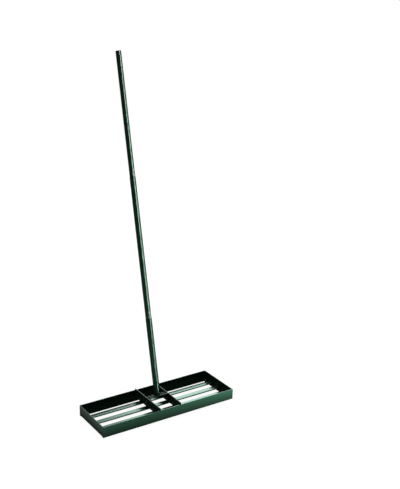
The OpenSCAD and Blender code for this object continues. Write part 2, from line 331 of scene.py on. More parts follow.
def add_piece(name, patches, material, body, stands_for):
    """One object at the origin from closed patches, merged at seams and poles, with its faces outwards."""
    points = np.concatenate([patch[0] for patch in patches])
    starts = np.cumsum([0] + [len(patch[0]) for patch in patches])
    faces = []
    for start, (_, groups) in zip(starts, patches):
        for group in groups:
            faces += (group + start).tolist()
    mesh = bpy.data.meshes.new(name)
    mesh.from_pydata(points, [], faces)
    shape = bmesh.new()
    shape.from_mesh(mesh)
    bmesh.ops.remove_doubles(shape, verts=shape.verts, dist=MERGE_DISTANCE)
    bmesh.ops.dissolve_degenerate(shape, edges=shape.edges, dist=MERGE_DISTANCE)
    bmesh.ops.recalc_face_normals(shape, faces=shape.faces)
    shape.to_mesh(mesh)
    shape.free()
    mesh.shade_smooth()
    mesh.set_sharp_from_angle(angle=SHARP_ANGLE)
    mesh.materials.append(material)
    piece = bpy.data.objects.new(name, mesh)
    bpy.context.scene.collection.objects.link(piece)
    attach(piece, body)
    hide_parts(stands_for)
    PIECES[body].append(piece)


def unit(vector):
    """Vector of length 1 in a direction."""
    return vector / np.linalg.norm(vector)


def directions(angle):
    """Unit vectors (cos, sin) of an array of angles."""
    return np.stack([np.cos(angle), np.sin(angle)], axis=-1)


def column_angles(columns):
    """Angles of equal columns round a whole turn."""
    return np.arange(columns) * TURN / columns


def rounded_outline(corners, radii, steps=ARC_STEPS):
    """Closed outline through corners, each replaced by an arc that touches both its sides."""
    corners = np.asarray(corners, float)
    arcs = []
    for i, radius in enumerate(radii):
        here = corners[i]
        back = unit(corners[i - 1] - here)
        ahead = unit(corners[(i + 1) % len(corners)] - here)
        half = math.acos(np.clip(back @ ahead, -1, 1)) / 2
        centre = here + unit(back + ahead) * radius / math.sin(half)
        start = here + back * radius / math.tan(half) - centre
        end = here + ahead * radius / math.tan(half) - centre
        first = math.atan2(start[1], start[0])
        sweep = (math.atan2(end[1], end[0]) - first + math.pi) % TURN - math.pi
        arcs.append(centre + radius * directions(first + sweep * np.linspace(0, 1, steps)))
    return np.concatenate(arcs)


def rectangle(low, high):
    """Corners of an upright rectangle, anticlockwise from the lowest."""
    return [(low[0], low[1]), (high[0], low[1]), (high[0], high[1]), (low[0], high[1])]


def outward(outline):
    """Unit normals of an anticlockwise outline, square to the chord between each point's neighbours."""
    chord = np.roll(outline, -1, axis=0) - np.roll(outline, 1, axis=0)
    normal = np.stack([chord[:, 1], -chord[:, 0]], axis=1)
    return normal / np.linalg.norm(normal, axis=1, keepdims=True)


def eased_ends(start, end, edge_r):
    """Stations from start to end and the insets there, which follow a quarter circle near each end."""
    angle = np.linspace(0, QUARTER, ARC_STEPS)
    depth = edge_r * (1 - np.cos(angle))
    inset = edge_r * (1 - np.sin(angle))
    return np.concatenate([start + depth, end - depth[::-1]]), np.concatenate([inset, inset[::-1]])


def along_x(stations, section):
    """Rings across X: one place along X for each ring, and the (y, z) points of its section."""
    x = np.broadcast_to(np.asarray(stations)[:, None], section.shape[:2])
    return np.stack([x, section[..., 0], section[..., 1]], axis=-1)


# Head frame

def wall_outline(reach, height, thickness):
    """Section of a folded wall: u inwards from its outer face, v upwards, round fold and eased edges."""
    corners = [(0, 0), (reach, 0), (reach, thickness),
               (thickness, thickness), (thickness, height), (0, height)]
    edge = SHEET_EDGE_R
    return rounded_outline(corners, [FOLD_R + thickness, edge, edge, FOLD_R, edge, edge])


def add_long_wall(node, material):
    """Folded wall along X: its section carried from end to end, drawn in along a quarter circle at both."""
    low, high = low_high(node)
    inner = low_high("left_cross_plate")[1][1]
    side = math.copysign(1, low[1] + high[1])
    outer = max(abs(low[1]), abs(high[1]))
    outline = wall_outline(high[1] - low[1], high[2], outer - inner)
    stations, insets = eased_ends(low[0], high[0], SHEET_EDGE_R)
    section = outline - insets[:, None, None] * outward(outline)
    section[..., 0] = side * (outer - section[..., 0])
    patch = capped_surface(along_x(stations, section))
    add_piece(node + "_folded", [patch], material, "head", node)


def add_end_wall(node, material):
    """Folded wall along Y: its section runs between the long lips, its upright alone to the long walls."""
    low, high = low_high(node)
    side = math.copysign(1, low[0] + high[0])
    outer = max(abs(low[0]), abs(high[0]))
    thickness = low_high("front_wall")[1][0] - right_stations("front_slat")[-1]
    lip_edge = -low_high("front_wall")[1][1]
    outline = wall_outline(high[0] - low[0], high[2], thickness)
    upright = np.stack([np.minimum(outline[:, 0], thickness),
                        np.maximum(outline[:, 1], thickness + FOLD_R)], axis=1)
    stations = np.array([low[1], -lip_edge, -lip_edge, lip_edge, lip_edge, high[1]])
    section = np.stack([upright, upright, outline, outline, upright, upright])
    y = np.broadcast_to(stations[:, None], section.shape[:2])
    rings = np.stack([side * (outer - section[..., 0]), y, section[..., 1]], axis=-1)
    add_piece(node + "_folded", [capped_surface(rings)], material, "head", node)


def add_slat(node, material):
    """Rolled flat bar along X: a rectangle with rounded edges carried from end wall to end wall."""
    low, high = low_high(node)
    outline = rounded_outline(rectangle(low[1:], high[1:]), [SLAT_EDGE_R] * 4)
    rings = along_x([low[0], high[0]], np.stack([outline, outline]))
    add_piece(node + "_rolled", [capped_surface(rings)], material, "head", node)


def on_rectangle(angle, low, high, centre):
    """Where rays at given angles from a point inside a rectangle meet its sides."""
    ray = directions(angle)
    room = np.where(ray > 0, high - centre, centre - low)
    reach = np.min(room / np.maximum(np.abs(ray), TINY), axis=1)
    return centre + ray * reach[:, None]


def add_cross_plate(node, material):
    """Upright plate: rings run from its pivot hole to its edge on one face, and back on the other."""
    low, high = low_high(node)
    centre = PIVOT[1:]
    corners = np.array(rectangle(low[1:], high[1:])) - centre
    corner_angles = np.arctan2(corners[:, 1], corners[:, 0]) % TURN
    angle = np.sort(np.concatenate([column_angles(PLATE_COLUMNS), corner_angles]))
    stations, insets = eased_ends(low[0], high[0], SHEET_EDGE_R)
    hole = centre + PIVOT_HOLE_R * directions(angle)
    outlines = [on_rectangle(angle, low[1:] + inset, high[1:] - inset, centre) for inset in insets]
    rings = along_x([low[0], *stations, high[0]], np.stack([hole, *outlines, hole]))
    add_piece(node + "_cut", [closed_surface(rings)], material, "head", node)


# Weld beads

def bead_rings(along, reach, leg):
    """Radii of a bead: a quarter superellipse, scalloped by overlapping ripples and round at both ends.

    along is each row's distance from the start, reach the whole length (None for a ring without ends).
    """
    angle = np.linspace(0, QUARTER, BEAD_STEPS)[None, :]
    quarter = (np.cos(angle) ** BEAD_POWER + np.sin(angle) ** BEAD_POWER) ** (-1 / BEAD_POWER)
    phase = (along[:, None] + RIPPLE_BOW_SHARE * leg * np.sin(2 * angle)) / RIPPLE_PITCH
    radius = leg * quarter * (1 - RIPPLE_DEPTH_SHARE * (phase % 1.0) ** RIPPLE_POWER)
    if reach is not None:
        to_end = np.clip(np.minimum(along, reach - along) / leg, 0, 1)
        radius = radius * np.sqrt(1 - (1 - to_end) ** 2)[:, None]
    return angle, radius


def straight_bead(start, end, first, second):
    """Bead along the seam from start to end, between two faces that run in the unit directions given."""
    start, end, first, second = (np.asarray(v, float) for v in (start, end, first, second))
    reach = np.linalg.norm(end - start)
    along = np.linspace(0, reach, int(reach / RIPPLE_PITCH * RIPPLE_ROWS))
    angle, radius = bead_rings(along, reach, WELD_LEG)
    seam = (start + (end - start) * (along / reach)[:, None])[:, None]
    arc = (radius * np.cos(angle))[..., None] * first + (radius * np.sin(angle))[..., None] * second
    return capped_surface(np.concatenate([seam + arc, seam], axis=1))


def slat_edges():
    """Front and rear edge of each slat along Y."""
    return [[corner[1] for corner in low_high(node)] for node in SLATS]


def add_corner_welds(material):
    """Upright beads in the four inner corners of the frame."""
    low, high = low_high("corner_welds")
    patches = [straight_bead((x, y, low[2]), (x, y, high[2]), (-np.sign(x), 0, 0), (0, -np.sign(y), 0))
               for x in (low[0], high[0]) for y in (low[1], high[1])]
    add_piece("corner_weld_beads", patches, material, "head", "corner_welds")


def add_slat_welds(material):
    """Beads over the ends of the slats, where their tops meet the end walls."""
    low, high = low_high("slat_welds")
    patches = [straight_bead((x, front, low[2]), (x, rear, low[2]), (-np.sign(x), 0, 0), UP)
               for x in (low[0], high[0]) for front, rear in slat_edges()]
    add_piece("slat_weld_beads", patches, material, "head", "slat_welds")


def add_plate_welds(material):
    """Beads on the outer side of each cross plate: up the long walls, and along the top of every slat."""
    low, high = low_high("plate_welds")
    plate = right_stations("right_cross_plate")[-1]
    patches = []
    for side in (-1, 1):
        x = side * plate
        out = (side, 0, 0)
        patches += [straight_bead((x, y, low[2]), (x, y, high[2]), out, (0, -np.sign(y), 0))
                    for y in (low[1], high[1])]
        patches += [straight_bead((x, front, low[2]), (x, rear, low[2]), out, UP)
                    for front, rear in slat_edges()]
    add_piece("plate_weld_beads", patches, material, "head", "plate_welds")


def add_saddle_weld(material):
    """Ring bead round the foot of the lower tube: the bead's section turned about the handle's axis."""
    base = handle_box("saddle_weld")[0][2]
    tube_r = handle_box("lower_tube")[1][0]
    ripples = int(TURN * tube_r / RIPPLE_PITCH)
    columns = ripples * RIPPLE_ROWS
    along = np.arange(columns) / RIPPLE_ROWS * RIPPLE_PITCH
    angle, radius = bead_rings(along, None, SADDLE_WELD_LEG)
    turn = column_angles(columns)[:, None]
    seam = np.zeros((columns, 1))
    out = tube_r + np.concatenate([radius * np.cos(angle), seam], axis=1)
    up = base + np.concatenate([radius * np.sin(angle), seam], axis=1)
    rings = np.stack([out * np.cos(turn), out * np.sin(turn), up], axis=-1)
    patch = closed_surface(on_handle(rings))
    add_piece("saddle_weld_bead", [patch], material, "handle", "saddle_weld")


# Saddle

def folded_strip(along, across, off, ear_x, web_z):
    """Points of a flat blank folded into the right half of a U: up the ear, round the fold, along the web.

    along is measured from the pivot, across is sideways, off is the distance from the sheet's middle.
    """
    bend = SADDLE_FOLD_R + SADDLE_THICKNESS / 2
    fold_x, fold_z = ear_x - bend, web_z - bend
    turn = np.clip((along - fold_z) / bend, 0, QUARTER)
    past = np.maximum(along - fold_z - bend * QUARTER, 0)
    below = np.minimum(along - fold_z, 0)
    x = fold_x + (bend + off) * np.cos(turn) - past
    z = fold_z + (bend + off) * np.sin(turn) + below
    return np.stack([x, across, z], axis=-1)


def add_saddle(material):
    """U-shaped saddle: on a flat blank, rings run from its hole over the rounded edge to the other face.

    The blank has a half round foot and straight sides. Two of them, folded, meet in the middle of the web.
    """
    high = handle_box("saddle_bracket")[1]
    half = high[1]
    ear_x = high[0] - SADDLE_THICKNESS / 2
    web_z = high[2] - SADDLE_THICKNESS / 2
    bend = SADDLE_FOLD_R + SADDLE_THICKNESS / 2
    end = web_z - bend + bend * QUARTER + ear_x - bend + SADDLE_OVERLAP
    foot = np.linspace(math.pi, TURN, SADDLE_FOOT_STEPS, endpoint=False)
    side = np.linspace(0, end, SADDLE_SIDE_STEPS)
    tip = np.linspace(1, -1, SADDLE_TIP_STEPS + 2)[1:-1]
    wide = np.concatenate([np.cos(foot), np.ones_like(side), tip, -np.ones_like(side)])
    long = np.concatenate([half * np.sin(foot), side, np.full_like(tip, end), side[::-1]])
    inset_long = np.concatenate([np.sin(foot), np.zeros(len(long) - len(foot))])
    turn = np.linspace(0, math.pi, 2 * ARC_STEPS)
    edge_inset = SADDLE_EDGE_R * (1 - np.sin(turn))
    flat = SADDLE_THICKNESS / 2 - SADDLE_EDGE_R
    edge_off = np.where(turn < QUARTER, flat, -flat) + SADDLE_EDGE_R * np.cos(turn)
    hole = SADDLE_HOLE_R * directions(np.arctan2(long, wide * half))[:, ::-1]
    rims = np.stack([np.stack([long - i * inset_long, wide * (half - i)], axis=-1) for i in edge_inset])
    share = np.linspace(0, 1, SADDLE_FACE_ROWS, endpoint=False)[:, None, None]
    upper = hole * (1 - share) + rims[0] * share
    lower = (hole * (1 - share) + rims[-1] * share)[::-1]
    rows = np.concatenate([upper, rims, lower])
    face_off = np.full(SADDLE_FACE_ROWS, SADDLE_THICKNESS / 2)
    off = np.concatenate([face_off, edge_off, -face_off])
    right = folded_strip(rows[..., 0], rows[..., 1], off[:, None], ear_x, web_z)
    patches = [closed_surface(on_handle(right * np.array([mirror, 1, 1]))) for mirror in (1, -1)]
    add_piece("saddle_bracket_folded", patches, material, "handle", "saddle_bracket")


# Turned pieces

def turned(radii, heights, columns):
    """Points (r cos, r sin, h) for rows of radii and heights, each a number or one value per column."""
    angle = column_angles(columns)
    r = np.stack([np.broadcast_to(row, columns) for row in radii])
    h = np.stack([np.broadcast_to(row, columns) for row in heights])
    return np.stack([r * np.cos(angle), r * np.sin(angle), h], axis=-1)


def hexagon(flat_r):
    """Radius of a hexagon in each column: its flats' over the cosine of the angle from a flat's middle."""
    sixth = TURN / 6
    return flat_r / np.cos((column_angles(HEX_COLUMNS) + sixth / 2) % sixth - sixth / 2)


def chamfered_hex(flat_r, bottom, top):
    """Rows of a hexagon between two heights, both ends cut by a cone that starts inside its flats."""
    edge = hexagon(flat_r)
    face_r = HEX_FACE_SHARE * flat_r
    drop = (edge - face_r) * math.tan(HEX_CHAMFER)
    return [face_r, edge, edge, face_r], [bottom, bottom + drop, top - drop, top]


def nut_rows(bolt_r, flat_r, bottom, top):
    """Points of a hex nut, chamfered on both faces and open on its bolt."""
    radii, heights = chamfered_hex(flat_r, bottom, top)
    return turned([bolt_r, *radii, bolt_r], [bottom, *heights, top], HEX_COLUMNS)


def thread_rows(radius, pitch, start, end):
    """Rows of a screw thread: the radius dips along a helix, as a triangle wave of height less turn."""
    heights = np.linspace(start, end, int(abs(end - start) / pitch * THREAD_ROWS))
    turn = np.arange(HEX_COLUMNS) / HEX_COLUMNS
    wave = 2 * np.abs((heights[:, None] / pitch - turn) % 1.0 - 0.5)
    return list(radius - THREAD_DEPTH_SHARE * pitch * wave), list(heights)


def on_pivot(points, surface):
    """Surfaces through turned points put on the pivot's axis, on the left and on the right."""
    return [surface(PIVOT + np.stack([side * points[..., 2], points[..., 0], points[..., 1]], axis=-1))
            for side in (-1, 1)]


def facing_front(points, station):
    """Turned points put across the handle: their height points forwards, out of the handle's front."""
    placed = np.stack([points[..., 1], -points[..., 2], points[..., 0] + station], axis=-1)
    return on_handle(placed)


def add_pivot_bolts(material):
    """Hex bolts: chamfered head, plain shank, and a screw thread from the nut to the tip."""
    tip, head, top = right_stations("pivot_bolts")[[0, -2, -1]]
    nut = right_stations("pivot_nuts")[-1]
    hex_radii, hex_heights = chamfered_hex(PIVOT_HEX_R, head, top)
    thread_radii, thread_heights = thread_rows(PIVOT_BOLT_R, PIVOT_THREAD_PITCH, nut, tip)
    neck = PIVOT_BOLT_R - THREAD_DEPTH_SHARE * PIVOT_THREAD_PITCH
    radii = [0, *hex_radii[::-1], PIVOT_BOLT_R, PIVOT_BOLT_R, *thread_radii, neck, 0]
    heights = [top, *hex_heights[::-1], head, nut, *thread_heights, tip, tip]
    patches = on_pivot(turned(radii, heights, HEX_COLUMNS), capped_surface)
    add_piece("pivot_hex_bolts", patches, material, "head", "pivot_bolts")


def add_pivot_nuts(material):
    """Hex nuts on the inner ends of the pivot bolts."""
    bottom, top = right_stations("pivot_nuts")[[0, -1]]
    patches = on_pivot(nut_rows(PIVOT_BOLT_R, PIVOT_HEX_R, bottom, top), closed_surface)
    add_piece("pivot_hex_nuts", patches, material, "head", "pivot_nuts")


def add_pivot_rings(node, name, material):
    """Washers or spacers of the pivot: rounded rectangles turned about its axis, two flat ends for each."""
    outer_r = low_high(node)[1][2] - PIVOT[2]
    patches = []
    for bottom, top in right_stations(node).reshape(-1, 2):
        corners = rectangle((PIVOT_HOLE_R, bottom), (outer_r, top))
        outline = rounded_outline(corners, [WASHER_EDGE_R] * 4, WASHER_ARC_STEPS)
        patches += on_pivot(turned(outline[:, 0], outline[:, 1], RING_COLUMNS), closed_surface)
    add_piece(name, patches, material, "head", node)


def joint_stations():
    """Each joint bolt as its place along the handle and the radius of the tube that it clamps."""
    boxes = [handle_box(tube) for tube in ("middle_tube", "upper_tube")]
    return [(low[2] + JOINT_INSET + k * JOINT_SPACING, high[0]) for low, high in boxes for k in (0, 1)]


def button_bolt(tube_r):
    """Points of a button head bolt: a domed head with a key socket, a shank, and a thread past its nut."""
    seat = tube_r + JOINT_SEAT_THICKNESS
    top = seat + JOINT_HEAD_HEIGHT
    rim = seat + JOINT_RIM_SHARE * JOINT_HEAD_HEIGHT
    nut_end = -seat - JOINT_NUT_HEIGHT
    tip = nut_end - JOINT_TAIL
    socket = hexagon(JOINT_SOCKET_R)
    dome = np.linspace(JOINT_DOME_ANGLE, 0, JOINT_DOME_STEPS)
    dome_r = JOINT_HEAD_R * np.cos(dome)
    dome_height = rim + (top - rim) * np.sin(dome) / math.sin(JOINT_DOME_ANGLE)
    mouth = np.maximum(dome_r[0], socket * JOINT_SOCKET_MOUTH_SHARE)
    socket_floor = top - JOINT_SOCKET_DEPTH
    socket_foot = top - JOINT_SOCKET_FLOOR_SHARE * JOINT_SOCKET_DEPTH
    thread_radii, thread_heights = thread_rows(JOINT_BOLT_R, JOINT_THREAD_PITCH, nut_end, tip)
    radii = [0, JOINT_SOCKET_FLOOR_SHARE * socket, socket, socket, mouth]
    heights = [socket_floor, socket_floor, socket_foot, top - JOINT_SOCKET_EASE, top]
    radii += [*dome_r[1:], JOINT_HEAD_R - JOINT_HEAD_EASE, JOINT_BOLT_R, JOINT_BOLT_R]
    heights += [*dome_height[1:], seat, seat, nut_end]
    radii += [*thread_radii, JOINT_TIP_SHARE * JOINT_BOLT_R, 0]
    heights += [*thread_heights, tip, tip]
    return turned(radii, heights, HEX_COLUMNS)


def add_joint_bolts(material):
    """Button head bolts through the handle, their heads in front."""
    patches = [capped_surface(facing_front(button_bolt(tube_r), station))
               for station, tube_r in joint_stations()]
    add_piece("joint_button_bolts", patches, material, "handle", "joint_bolts")


def add_joint_nuts(material):
    """Hex nuts at the back of the handle."""
    patches = []
    for station, tube_r in joint_stations():
        top = -tube_r - JOINT_SEAT_THICKNESS
        rows = nut_rows(JOINT_BOLT_R, JOINT_NUT_R, top - JOINT_NUT_HEIGHT, top)
        patches.append(closed_surface(facing_front(rows, station)))
    add_piece("joint_hex_nuts", patches, material, "handle", "joint_nuts")


def add_joint_seats(material):
    """Curved seats: rings that are flat on top and whose lower face follows the round of the tube."""
    across = np.sin(column_angles(RING_COLUMNS))
    edge = WASHER_EDGE_R
    radii = [JOINT_HOLE_R, JOINT_SEAT_R, JOINT_SEAT_R, JOINT_SEAT_R - edge, JOINT_HOLE_R]
    patches = []
    for station, tube_r in joint_stations():
        top = tube_r + JOINT_SEAT_THICKNESS
        lower = [np.sqrt(tube_r ** 2 - (r * across) ** 2) for r in radii[:2]]
        front = turned(radii, [*lower, top - edge, top, top], RING_COLUMNS)
        back = front * np.array([1, 1, -1])
        patches += [closed_surface(facing_front(rows, station)) for rows in (front, back)]
    add_piece("joint_curved_seats", patches, material, "handle", "joint_seats")


# Handle

def turned_on_handle(outline, surface):
    """Surface through an outline of radius and height, turned about the handle's axis."""
    return surface(on_handle(turned(outline[:, 0], outline[:, 1], TUBE_COLUMNS)))


def add_necked_tube(node, next_node, material):
    """Tube with a drawn-in neck: its wall's section, with a rounded shoulder and eased rims, is turned."""
    low, high = handle_box(node)
    next_low, next_high = handle_box(next_node)
    r = high[0]
    shoulder = next_low[2]
    start = shoulder - SHOULDER_LENGTH
    neck = next_high[0] - TUBE_WALL - TUBE_FIT_GAP
    corners = [(r - TUBE_WALL, low[2]), (r, low[2]), (r, start), (neck, shoulder), (neck, high[2]),
               (neck - TUBE_WALL, high[2]), (neck - TUBE_WALL, shoulder), (r - TUBE_WALL, start)]
    radii = [RIM_R, RIM_R, SHOULDER_R, RIM_R, RIM_R, RIM_R, RIM_R, RIM_R]
    patch = turned_on_handle(rounded_outline(corners, radii), closed_surface)
    add_piece(node + "_drawn", [patch], material, "handle", node)


def add_plain_tube(node, material):
    """Straight tube: its wall's section, with eased rims, is turned."""
    low, high = handle_box(node)
    corners = rectangle((high[0] - TUBE_WALL, low[2]), (high[0], high[2]))
    patch = turned_on_handle(rounded_outline(corners, [RIM_R] * 4), closed_surface)
    add_piece(node + "_drawn", [patch], material, "handle", node)


def add_end_plug(material):
    """Moulded plug: the outline of a shallow dome with a rounded rim over a hollow spigot is turned."""
    low, high = handle_box("end_plug")
    r, crown = high[0], high[2]
    tube_end = handle_box("upper_tube")[1][2]
    spigot = r - TUBE_WALL - TUBE_FIT_GAP
    bore = spigot - PLUG_WALL
    corners = [(0, tube_end), (r, tube_end), (r, crown - PLUG_EDGE_DROP), (0, crown - PLUG_CROWN_DROP)]
    cap = rounded_outline(corners, [RIM_R, PLUG_FOOT_R, PLUG_EDGE_R, RIM_R])
    rim = cap[ARC_STEPS:3 * ARC_STEPS]
    top = [(PLUG_DOME_SHARE * r, crown - PLUG_DOME_DROP), (0, crown)]
    bottom = [(0, tube_end), (bore, tube_end), (bore, low[2]), (spigot, low[2]), (spigot, tube_end)]
    patch = turned_on_handle(np.concatenate([bottom, rim, top]), capped_surface)
    add_piece("end_plug_moulded", [patch], material, "handle", "end_plug")


# Shader nodes

def fill_inputs(tree, node, inputs):
    """Sets each named or numbered input of a node, or links it to the socket given."""
    for key, value in inputs.items():
        if isinstance(value, bpy.types.NodeSocket):
            tree.links.new(value, node.inputs[key])
        else:
            node.inputs[key].default_value = value


def put(tree, kind, inputs, **settings):
    """Adds a node with its settings and inputs, and gives its outputs."""
    node = tree.nodes.new(kind)
    for key, value in settings.items():
        setattr(node, key, value)
    fill_inputs(tree, node, inputs)
    return node.outputs


def object_place(tree):
    """Place on the object of the point that is shaded."""
    return put(tree, "ShaderNodeTexCoord", {})["Object"]


def work_out(tree, operation, *values):
    """Result of a Math node on one or two numbers."""
    return put(tree, "ShaderNodeMath", dict(enumerate(values)), operation=operation)[0]


def ramp(tree, value, start=0.0, end=1.0, low=0.0, high=1.0):
    """Number that goes from low to high while a value goes from start to end, and is level beyond."""
    inputs = {"Value": value, "From Min": start, "From Max": end, "To Min": low, "To Max": high}
    return put(tree, "ShaderNodeMapRange", inputs)["Result"]


def noise(tree, where, scale, detail, roughness=0.5):
    """Cloudy noise from 0 to 1."""
    inputs = {"Vector": where, "Scale": scale, "Detail": detail, "Roughness": roughness}
    return put(tree, "ShaderNodeTexNoise", inputs)["Fac"]


def mix_colour(tree, share, first, second):
    """Colour between two others by a share from 0 to 1."""
    inputs = {"Factor": share, MIX_FIRST: first, MIX_SECOND: second}
    return put(tree, "ShaderNodeMix", inputs, data_type="RGBA")[MIX_RESULT]


def along_handle_axis(tree, axis):
    """Distance of the shaded point from the pivot along an axis of the handle's own frame."""
    place = object_place(tree)
    from_pivot = put(tree, "ShaderNodeVectorMath", {0: place, 1: PIVOT}, operation="SUBTRACT")[0]
    return put(tree, "ShaderNodeVectorMath", {0: from_pivot, 1: axis}, operation="DOT_PRODUCT")["Value"]


# Effects that the finishes share

def new_group(name, inputs, outputs):
    """Empty shader node group of numbers, with what it is given and the node that takes its results."""
    group = bpy.data.node_groups.new(name, "ShaderNodeTree")
    for labels, direction in ((inputs, "INPUT"), (outputs, "OUTPUT")):
        for label in labels:
            group.interface.new_socket(name=label, in_out=direction, socket_type="NodeSocketFloat")
    return group, group.nodes.new("NodeGroupInput").outputs, group.nodes.new("NodeGroupOutput")


def coat_skin_group():
    """Skin of a sprayed or moulded surface: a fine orange peel height and a slow mottle."""
    group, given, result = new_group("coat_skin", ["Peel Scale", "Mottle Scale"], ["Peel", "Mottle"])
    where = object_place(group)
    peel = noise(group, where, given["Peel Scale"], PEEL_DETAIL)
    mottle = noise(group, where, given["Mottle Scale"], MOTTLE_DETAIL, MOTTLE_NOISE_ROUGHNESS)
    fill_inputs(group, result, {"Peel": peel, "Mottle": mottle})
    return group


def top_sheen_group():
    """Mask of the faces that look up, in streaks along the head, where a sheen is painted as polished
    metal.
    """
    group, given, result = new_group("painted_top_sheen", ["Streak Share"], ["Mask"])
    coords = put(group, "ShaderNodeTexCoord", {})
    facing = put(group, "ShaderNodeSeparateXYZ", {"Vector": coords["Normal"]})["Z"]
    upward = ramp(group, facing, SHEEN_START, SHEEN_FULL)
    stretched = put(group, "ShaderNodeMapping", {"Vector": coords["Object"], "Scale": STREAK_SCALES})
    streak = noise(group, stretched["Vector"], 1.0, STREAK_DETAIL)
    loss = work_out(group, "MULTIPLY", streak, given["Streak Share"])
    kept = work_out(group, "SUBTRACT", 1.0, loss)
    fill_inputs(group, result, {"Mask": work_out(group, "MULTIPLY", upward, kept)})
    return group


def outer_skin_group():
    """Masks of the head's outermost faces, which alone keep the paint's own colour, and of their foot,
    which is painted darker and duller towards the ground as shade.
    """
    limits = ["Half Length", "Half Depth", "Foot Top"]
    group, given, result = new_group("outer_skin", limits, ["Mask", "Foot"])
    place = put(group, "ShaderNodeSeparateXYZ", {"Vector": object_place(group)})
    ends, sides = (work_out(group, "GREATER_THAN", work_out(group, "ABSOLUTE", place[axis]), given[limit])
                   for axis, limit in (("X", "Half Length"), ("Y", "Half Depth")))
    either = work_out(group, "MAXIMUM", ends, sides)
    low = ramp(group, place["Z"], given["Foot Top"], 0.0)
    fill_inputs(group, result, {"Mask": either, "Foot": work_out(group, "MULTIPLY", either, low)})
    return group


def edge_sheen_group():
    """Mask of the long edges of the saddle's web, where a highlight is painted, by the distance before or
    behind the handle's axis.
    """
    group, given, result = new_group("painted_edge_sheen", ["Inner", "Outer"], ["Mask"])
    reach = work_out(group, "ABSOLUTE", along_handle_axis(group, HANDLE_AXES[1]))
    fill_inputs(group, result, {"Mask": ramp(group, reach, given["Inner"], given["Outer"])})
    return group


def tube_shade_group():
    """Mask of the handle's lowest stretch, which is painted darker as shade, by the distance up from the
    pivot.
    """
    group, given, result = new_group("shaded_tube_foot", ["Dark Below", "Clear Above"], ["Mask"])
    along = along_handle_axis(group, HANDLE_AXES[2])
    fill_inputs(group, result, {"Mask": ramp(group, along, given["Clear Above"], given["Dark Below"])})
    return group


def use_group(material, group, inputs):
    """Places a node group in a material with its own values, and gives its outputs."""
    return put(material.node_tree, "ShaderNodeGroup", inputs, node_tree=group, name=group.name)


# Finishes

def shader_of(material):
    """Principled shader of a material."""
    return material.node_tree.nodes["Principled BSDF"]


def coated(name, skin, grain, colours, roughness, plain, rough_by="Mottle"):
    """Material mottled between two colours, with a roughness that follows its skin and a fine relief.

    grain holds the values of the skin, plain the shader's inputs that are the same all over.
    """
    material = bpy.data.materials.new(name)
    material.use_nodes = True
    tree = material.node_tree
    coat = use_group(material, skin, {"Peel Scale": grain["peel"], "Mottle Scale": grain["mottle"]})
    relief = {"Height": coat["Peel"], "Distance": grain["depth"], "Strength": grain["strength"]}
    fill_inputs(tree, shader_of(material), {
        "Base Color": mix_colour(tree, coat["Mottle"], *colours),
        "Roughness": ramp(tree, coat[rough_by], low=roughness[0], high=roughness[1]),
        "Normal": put(tree, "ShaderNodeBump", relief)["Normal"],
        **plain,
    })
    return material


def thin_gloss(weight, roughness):
    """Shader inputs of a thin gloss over a colour that reflects nothing by itself."""
    return {"Specular IOR Level": 0.0, "Coat Weight": weight, "Coat Roughness": roughness}


def blend_base(material, share, colour):
    """Blends another colour over the base colour that a material has already."""
    base = shader_of(material).inputs["Base Color"]
    blended = mix_colour(material.node_tree, share, base.links[0].from_socket, colour)
    material.node_tree.links.new(blended, base)


def paint_sheen_as_metal(material, share, colour):
    """Turns a paint into polished metal of a colour, as far as a mask says: a painted sheen or highlight.
    """
    blend_base(material, share, colour)
    fill_inputs(material.node_tree, shader_of(material), {"Metallic": share})


def dull_paint(skin, name, colours):
    """Dark green powder coat of the inner metalwork, dull from handling and welding, in darker colours that
    are painted shade.
    """
    plain = {"Specular IOR Level": INNER_GLOSS, "Specular Tint": HEAD_SHEEN}
    return coated(name, skin, HEAD_GRAIN, colours, INNER_ROUGHNESS, plain)


def plate_paint(skin, sheen_tops):
    """Dull powder coat of the cross plates, painted darker as shade, with a highlight of polished steel
    painted along their top edges.
    """
    material = dull_paint(skin, "plate_paint", (INNER_SHADE_DARK, INNER_SHADE_LIGHT))
    tops = use_group(material, sheen_tops, {"Streak Share": STREAK_SHARE})["Mask"]
    # Painted highlight along the plates' top edges
    paint_sheen_as_metal(material, tops, PLATE_EDGE_SHEEN)
    return material


def saddle_paint(skin, sheen_tops, edge_sheen):
    """Dull powder coat of the saddle, painted darker as shade, with highlights of polished steel painted
    along the two long edges of its web.
    """
    material = dull_paint(skin, "saddle_paint", (SADDLE_SHADE_DARK, SADDLE_SHADE_LIGHT))
    tops = use_group(material, sheen_tops, {"Streak Share": STREAK_SHARE})["Mask"]
    edges = use_group(material, edge_sheen, {"Inner": SADDLE_SHEEN_START, "Outer": SADDLE_SHEEN_FULL})["Mask"]
    # Painted highlight along the web's long edges
    paint_sheen_as_metal(material, work_out(material.node_tree, "MULTIPLY", tops, edges), SADDLE_EDGE_SHEEN)
    return material


